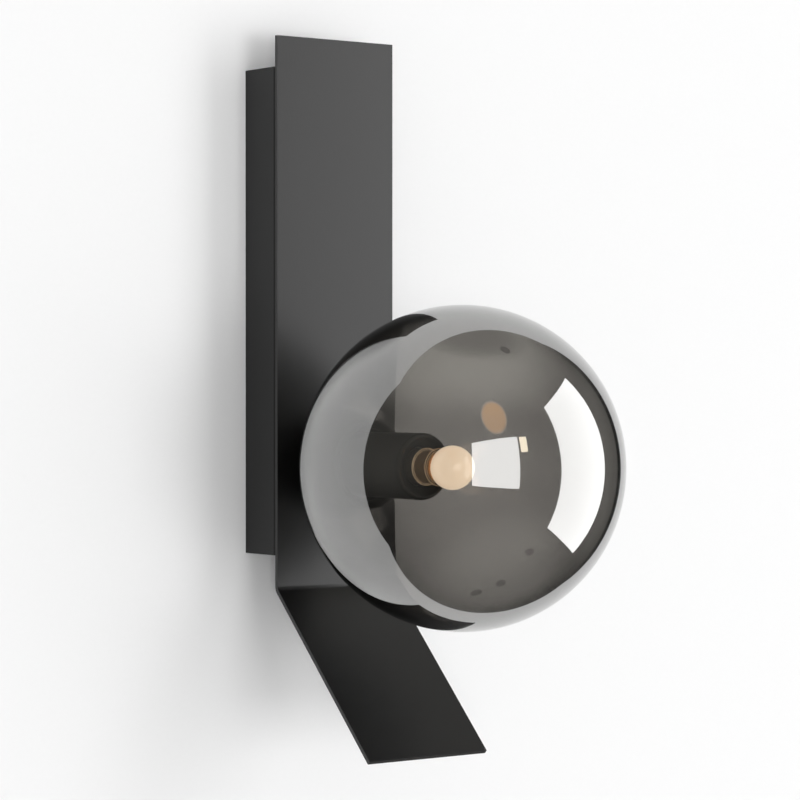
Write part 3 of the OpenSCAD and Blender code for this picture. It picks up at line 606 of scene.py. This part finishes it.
def flat_lamp(name, place, facing, width, height, radiance, colour=(1, 1, 1)):
    """A rectangular lamp at a place, its front turned along a direction."""
    light = bpy.data.lights.new(name, "AREA")
    light.shape = "RECTANGLE"
    light.size = width
    light.size_y = height
    light.energy = math.pi * width * height * radiance
    light.color = colour
    made = bpy.data.objects.new(name, light)
    made.location = place
    made.rotation_mode = "QUATERNION"
    made.rotation_quaternion = (-facing).to_track_quat("Z", "Y")
    bpy.context.scene.collection.objects.link(made)
    print("%s: %.2f by %.2f m, radiance %.1f" % (name, width, height, radiance))
    return made


# %% [markdown]
# The mirrored parts come first. Each softbox is upright, so its picture in the globe is given by a
# direction and by how far its four sides lie off it. A small warm card in front makes the light patch
# beside the larger softbox. They could be glowing sheets, but area lamps are cleaner in sharp gloss.

# %% Mirrored softboxes


def mirrored(lamp):
    """Leaves a lamp to reflections alone."""
    lamp.visible_diffuse = False
    return lamp


def softbox(name, azimuth, distance, left, right, low, high, radiance):
    """An upright softbox that only reflections see. Its front is square to a direction from the
    globe, and its sides are given as slopes: how far they lie off that direction per metre."""
    away = direction(azimuth, 0)
    across = Vector((-away.y, away.x, 0))
    middle_place = away + (left + right) / 2 * across + Vector((0, 0, (low + high) / 2))
    width, height = (right - left) * distance, (high - low) * distance
    return mirrored(flat_lamp(
        name, globe_centre + distance * middle_place, -away, width, height, radiance
    ))


softbox(
    "tall_softbox", azimuth=61.1, distance=3.2, left=-0.515, right=0.316, low=-0.737, high=0.809,
    radiance=3.3,
)
softbox(
    "front_softbox", azimuth=0.0, distance=2.4, left=-0.613, right=0.028, low=-0.206, high=0.395,
    radiance=3.0,
)
WARM_WHITE = (1, 0.87, 0.66)
WARM_CARD_DISTANCE = 2.4
warm_away = direction(azimuth=5.7, elevation=16.3)
mirrored(flat_lamp(
    "warm_card", globe_centre + WARM_CARD_DISTANCE * warm_away, -warm_away,
    width=0.21, height=0.40, radiance=3.85, colour=WARM_WHITE,
))

# %% [markdown]
# The soft shadows beside the box tell where the light on the wall comes from: from the right, from
# the front and a little from the left. Three far lamps give it, each with a share of the wall's
# white. Smoked glass lets part of a lamp's light through, but a closed shell stops it all, so every
# lamp is in two parts, and light linking lets one of them ignore the globe.

# %% Lamps that light the paint

FAR = 8.0
clear_glass = bpy.data.collections.new("clear_glass")
clear_glass.objects.link(globe)
clear_glass.collection_objects[0].light_linking.link_state = "EXCLUDE"


def paint_lamp(name, azimuth, elevation, wide, high, share, passes):
    """A far lamp for the matt surfaces, as wide and high as those angles, in degrees.

    It gives the open wall that share of full white, and the globe stops all but a part of it."""
    away = direction(azimuth, elevation)
    width, height = (2 * FAR * math.tan(math.radians(angle / 2)) for angle in (wide, high))
    for ending, part in (("", 1 - passes), ("_through_glass", passes)):
        radiance = part * share * math.pi * FAR ** 2 / (width * height * -away.y)
        lamp = flat_lamp(name + ending, globe_centre + FAR * away, -away, width, height, radiance)
        lamp.visible_camera = False
        lamp.visible_glossy = False
        lamp.visible_transmission = False
        if ending:
            lamp.light_linking.blocker_collection = clear_glass


paint_lamp("left_lamp", azimuth=-34.0, elevation=0.0, wide=12.0, high=12.0, share=0.13, passes=0.3)
paint_lamp("front_lamp", azimuth=0.0, elevation=-6.0, wide=24.0, high=18.0, share=0.24, passes=0.3)
paint_lamp("right_lamp", azimuth=46.0, elevation=5.0, wide=26.0, high=60.0, share=0.285, passes=0.8)

# %% [markdown]
# The wall hides everything inside the box, and the box's back is open only towards the hole in the
# wall. A lamp on the far side shines through that hole on the bracket and the wiring, for the views
# from behind. The wall's front stops it elsewhere, so it doesn't touch the picture from the front.

# %% Lamp behind the box

BEHIND_PLACE = Vector((0.3, 1.2, 0.25))
BEHIND_FACING = Vector((-0.24, -0.96, -0.2))
behind_lamp = flat_lamp(
    "behind_lamp", BEHIND_PLACE, BEHIND_FACING, width=0.6, height=0.6, radiance=8.0
)
behind_lamp.visible_camera = False
behind_lamp.visible_transmission = False

# %% [markdown]
# Besides the softboxes, the globe mirrors a dim studio: a paler ceiling and floor, a little light at
# both sides, dark fittings and one warm lamp. A photographed room could stand for it, but nothing is
# read from disk here, so the directions from the globe are shaded by a few soft round parts on a dome
# that only mirror images see.

# %% Dark studio


def reach_along(start, outward, axis):
    """How far a direction reaches along an axis."""
    return start.node(
        "ShaderNodeVectorMath", {"operation": "DOT_PRODUCT"}, {0: outward, 1: axis}, out="Value"
    )


def facing_part(start, outward, towards, edge, core):
    """How much a direction belongs to a round part of the dome, softly, from 0 to 1."""
    near = reach_along(start, outward, towards)
    return soft_step(start, near, math.cos(math.radians(edge)), math.cos(math.radians(core)))


OVAL_OUTSIDE, OVAL_INSIDE = 1.3, 0.7


def oval_part(start, outward, azimuth, elevation, half_wide, half_high):
    """A small oval patch of the dome, given in degrees.

    The far side of the dome lies off the patch's centre by the same amounts, so it is left out."""
    centre = direction(azimuth, elevation)
    across = Vector((-centre.y, centre.x, 0)).normalized()
    rise = across.cross(-centre)
    offsets = [
        reach_along(start, outward, axis) * (1 / math.sin(math.radians(half)))
        for axis, half in ((across, half_wide), (rise, half_high))
    ]
    away = offsets[0] ** 2 + offsets[1] ** 2
    patch = soft_step(start, away, OVAL_OUTSIDE, OVAL_INSIDE)
    return patch * (reach_along(start, outward, centre) > 0.5)


DARK_FITTINGS = [(74, 67.5), (32, -49), (51, -71), (80, -82)]
DARKEST = 0.012
CEILING_LEVEL, FLOOR_LEVEL, LEFT_LEVEL, RIGHT_LEVEL = 0.58, 0.22, 0.11, 0.15
LAMP_LEVEL = 1.08
CORNER_SHADE, FITTING_SHADE = 0.55, 0.8
PAST_WALL = (0.13, 0.2)


def studio_dark(name):
    """A dim studio: the ceiling and the floor a little lighter, dark fittings and one warm lamp."""
    material, start = new_material(name)
    outward = start.node(
        "ShaderNodeVectorMath", {"operation": "NORMALIZE"}, {0: place_on_object(start)}
    )
    ceiling = facing_part(start, outward, direction(30, 88), edge=60, core=8)
    dark_corner = facing_part(start, outward, direction(118, 74), edge=25, core=8)
    floor = facing_part(start, outward, direction(25, -66), edge=50, core=6)
    left = facing_part(start, outward, direction(-90, 18), edge=50, core=10)
    to_wall = start.node("ShaderNodeSeparateXYZ", values={"Vector": outward}, out="Y")
    past_wall = soft_step(start, to_wall, *PAST_WALL)
    right = facing_part(start, outward, direction(84, 3), edge=48, core=14) * (1 - past_wall)
    level = DARKEST + CEILING_LEVEL * ceiling * (1 - CORNER_SHADE * dark_corner)
    level = level + FLOOR_LEVEL * floor + LEFT_LEVEL * left + RIGHT_LEVEL * right
    for azimuth, elevation in DARK_FITTINGS:
        fitting = oval_part(start, outward, azimuth, elevation, half_wide=3.2, half_high=2.4)
        level = level * (1 - FITTING_SHADE * fitting)
    lamp = oval_part(start, outward, azimuth=-12, elevation=34.5, half_wide=8, half_high=11)
    glow = start.node("ShaderNodeEmission", values={
        "Color": blend_colours(start, lamp, rgba(1, 0.96, 0.88), rgba(1, 0.56, 0.24)),
        "Strength": level + LAMP_LEVEL * lamp,
    })
    start.node("ShaderNodeOutputMaterial", values={"Surface": glow})
    return material


def studio_dome(name, radius):
    """A dome round the whole set that only mirror images see."""
    mesh = bmesh.new()
    bmesh.ops.create_icosphere(mesh, subdivisions=4, radius=radius)
    bmesh.ops.reverse_faces(mesh, faces=mesh.faces)
    made = add_mesh(name, mesh)
    made.visible_camera = False
    made.visible_diffuse = False
    made.visible_transmission = False
    made.visible_volume_scatter = False
    made.visible_shadow = False
    return made


DOME_RADIUS = 6.0
dome = studio_dome("dark_studio", DOME_RADIUS)
dome.data.materials.append(studio_dark("dark_cloth"))

# %% [markdown]
# The world is white where it is seen, straight or in gloss and glass, as the open studio is. The light
# that it throws on the set is dimmer, because the lamps add their shares, and together they bring the
# wall just up to white. Light Path tells these rays apart.

# %% Surroundings


def surroundings(white, ambient, dark):
    """A white world for what is seen, a dimmer one that lights, and a dark one for mirror images.

    A mirror image that is seen through glass shows the dark studio, like any other."""
    world = bpy.data.worlds.new("surroundings")
    bpy.context.scene.world = world
    world.use_nodes = True
    world.node_tree.nodes.clear()
    start = Signal(world.node_tree)
    in_mirror = light_path(start, "Glossy Depth") > 0.5
    through = light_path(start, "Is Transmission Ray")
    straight_or_gloss = light_path(start, "Is Camera Ray") + light_path(start, "Is Glossy Ray")
    seen = start.math("MINIMUM", straight_or_gloss + through, 1.0)
    strength = seen * (white - ambient) + ambient
    strength = strength - through * in_mirror * (white - dark)
    sky = start.node("ShaderNodeBackground", values={"Color": rgba(1, 1, 1), "Strength": strength})
    start.node("ShaderNodeOutputWorld", values={"Surface": sky})


WHITE_LEVEL, AMBIENT_LEVEL, DARK_LEVEL = 1.0, 0.475, 0.06
surroundings(WHITE_LEVEL, AMBIENT_LEVEL, DARK_LEVEL)

# %% [markdown]
# The camera stands where the photograph's did: to the left of the light and level with the globe,
# about a metre and a half away, with a long lens. Its place was worked out from the outlines of the
# strip, the box and the globe.

# %% Camera

CAMERA_AZIMUTH = 36.666
CAMERA_ELEVATION = 0.443
CAMERA_DISTANCE = 1.42911
LOOKED_AT_X, LOOKED_AT_Z = 38.922 * MM, -42.989 * MM
SENSOR = 36.0
LENS = 130.13


def photograph_camera():
    """The camera of the photograph."""
    across = math.radians(CAMERA_AZIMUTH)
    down = math.radians(CAMERA_ELEVATION)
    forward = Vector((
        math.sin(across) * math.cos(down), math.cos(across) * math.cos(down), -math.sin(down)
    ))
    looked_at = Vector((LOOKED_AT_X, strip_y, LOOKED_AT_Z))
    camera = bpy.data.cameras.new("camera")
    camera.lens = LENS
    camera.sensor_width = SENSOR
    made = bpy.data.objects.new("camera", camera)
    made.location = looked_at - CAMERA_DISTANCE * forward
    made.rotation_mode = "QUATERNION"
    made.rotation_quaternion = forward.to_track_quat("-Z", "Y")
    bpy.context.scene.collection.objects.link(made)
    bpy.context.scene.camera = made
    return made


print("camera at", [round(value, 3) for value in photograph_camera().location])
bpy.context.scene.view_settings.view_transform = "Standard"
